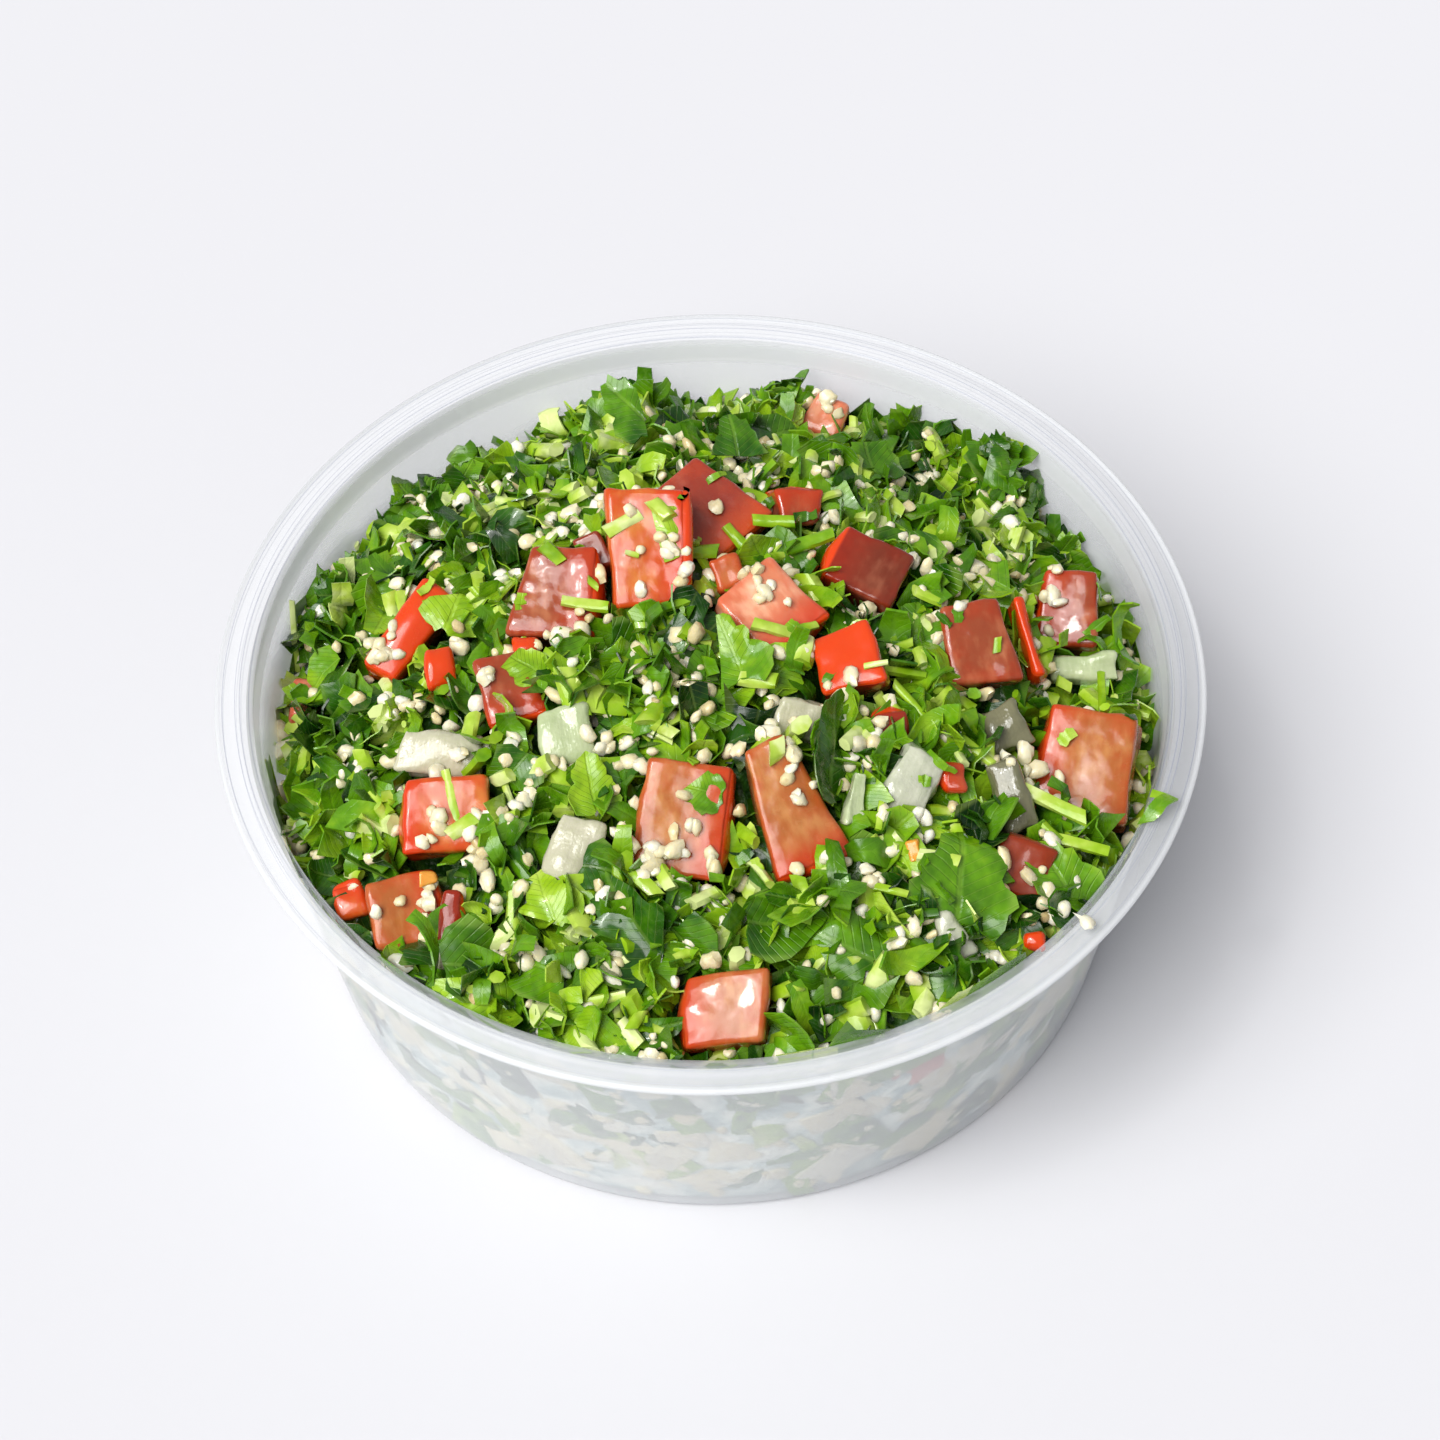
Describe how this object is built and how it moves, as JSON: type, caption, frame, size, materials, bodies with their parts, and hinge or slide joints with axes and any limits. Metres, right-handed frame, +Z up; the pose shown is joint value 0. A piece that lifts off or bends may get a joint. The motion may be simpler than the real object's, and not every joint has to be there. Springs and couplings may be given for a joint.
{
  "type": "tabbouleh salad",
  "caption": "Heaped tabbouleh of chopped parsley, bulgur, tomato and onion in a round translucent deli tub without its lid.",
  "frame": {"origin": "middle of the tub's base, on the surface it stands on", "axes": "+Z up along the tub's axis, -Y to the side where the salad reaches the rim"},
  "size_m": [0.117, 0.117, 0.0586],
  "materials": {
    "tub": "thin frosted translucent moulded plastic, glossy on the rim",
    "salad": "wet chopped parsley leaves and stems, green, with ivory bulgur grains",
    "tomato": "wet cut tomato, coral flesh with a bright red skin on one side",
    "onion": "wet translucent white onion"
  },
  "bodies": {
    "root": {"tub": "tub", "salad": "salad", "tomato_01": "tomato", "tomato_02": "tomato", "tomato_03": "tomato", "tomato_04": "tomato", "tomato_05": "tomato", "tomato_06": "tomato", "tomato_07": "tomato", "tomato_08": "tomato", "tomato_09": "tomato", "tomato_10": "tomato", "tomato_11": "tomato", "tomato_12": "tomato", "tomato_13": "tomato", "tomato_14": "tomato", "tomato_15": "tomato", "tomato_16": "tomato", "tomato_17": "tomato", "tomato_18": "tomato", "tomato_19": "tomato", "onion_01": "onion", "onion_02": "onion", "onion_03": "onion", "onion_04": "onion", "onion_05": "onion", "onion_06": "onion", "onion_07": "onion", "onion_08": "onion"}
  },
  "joints": []
}
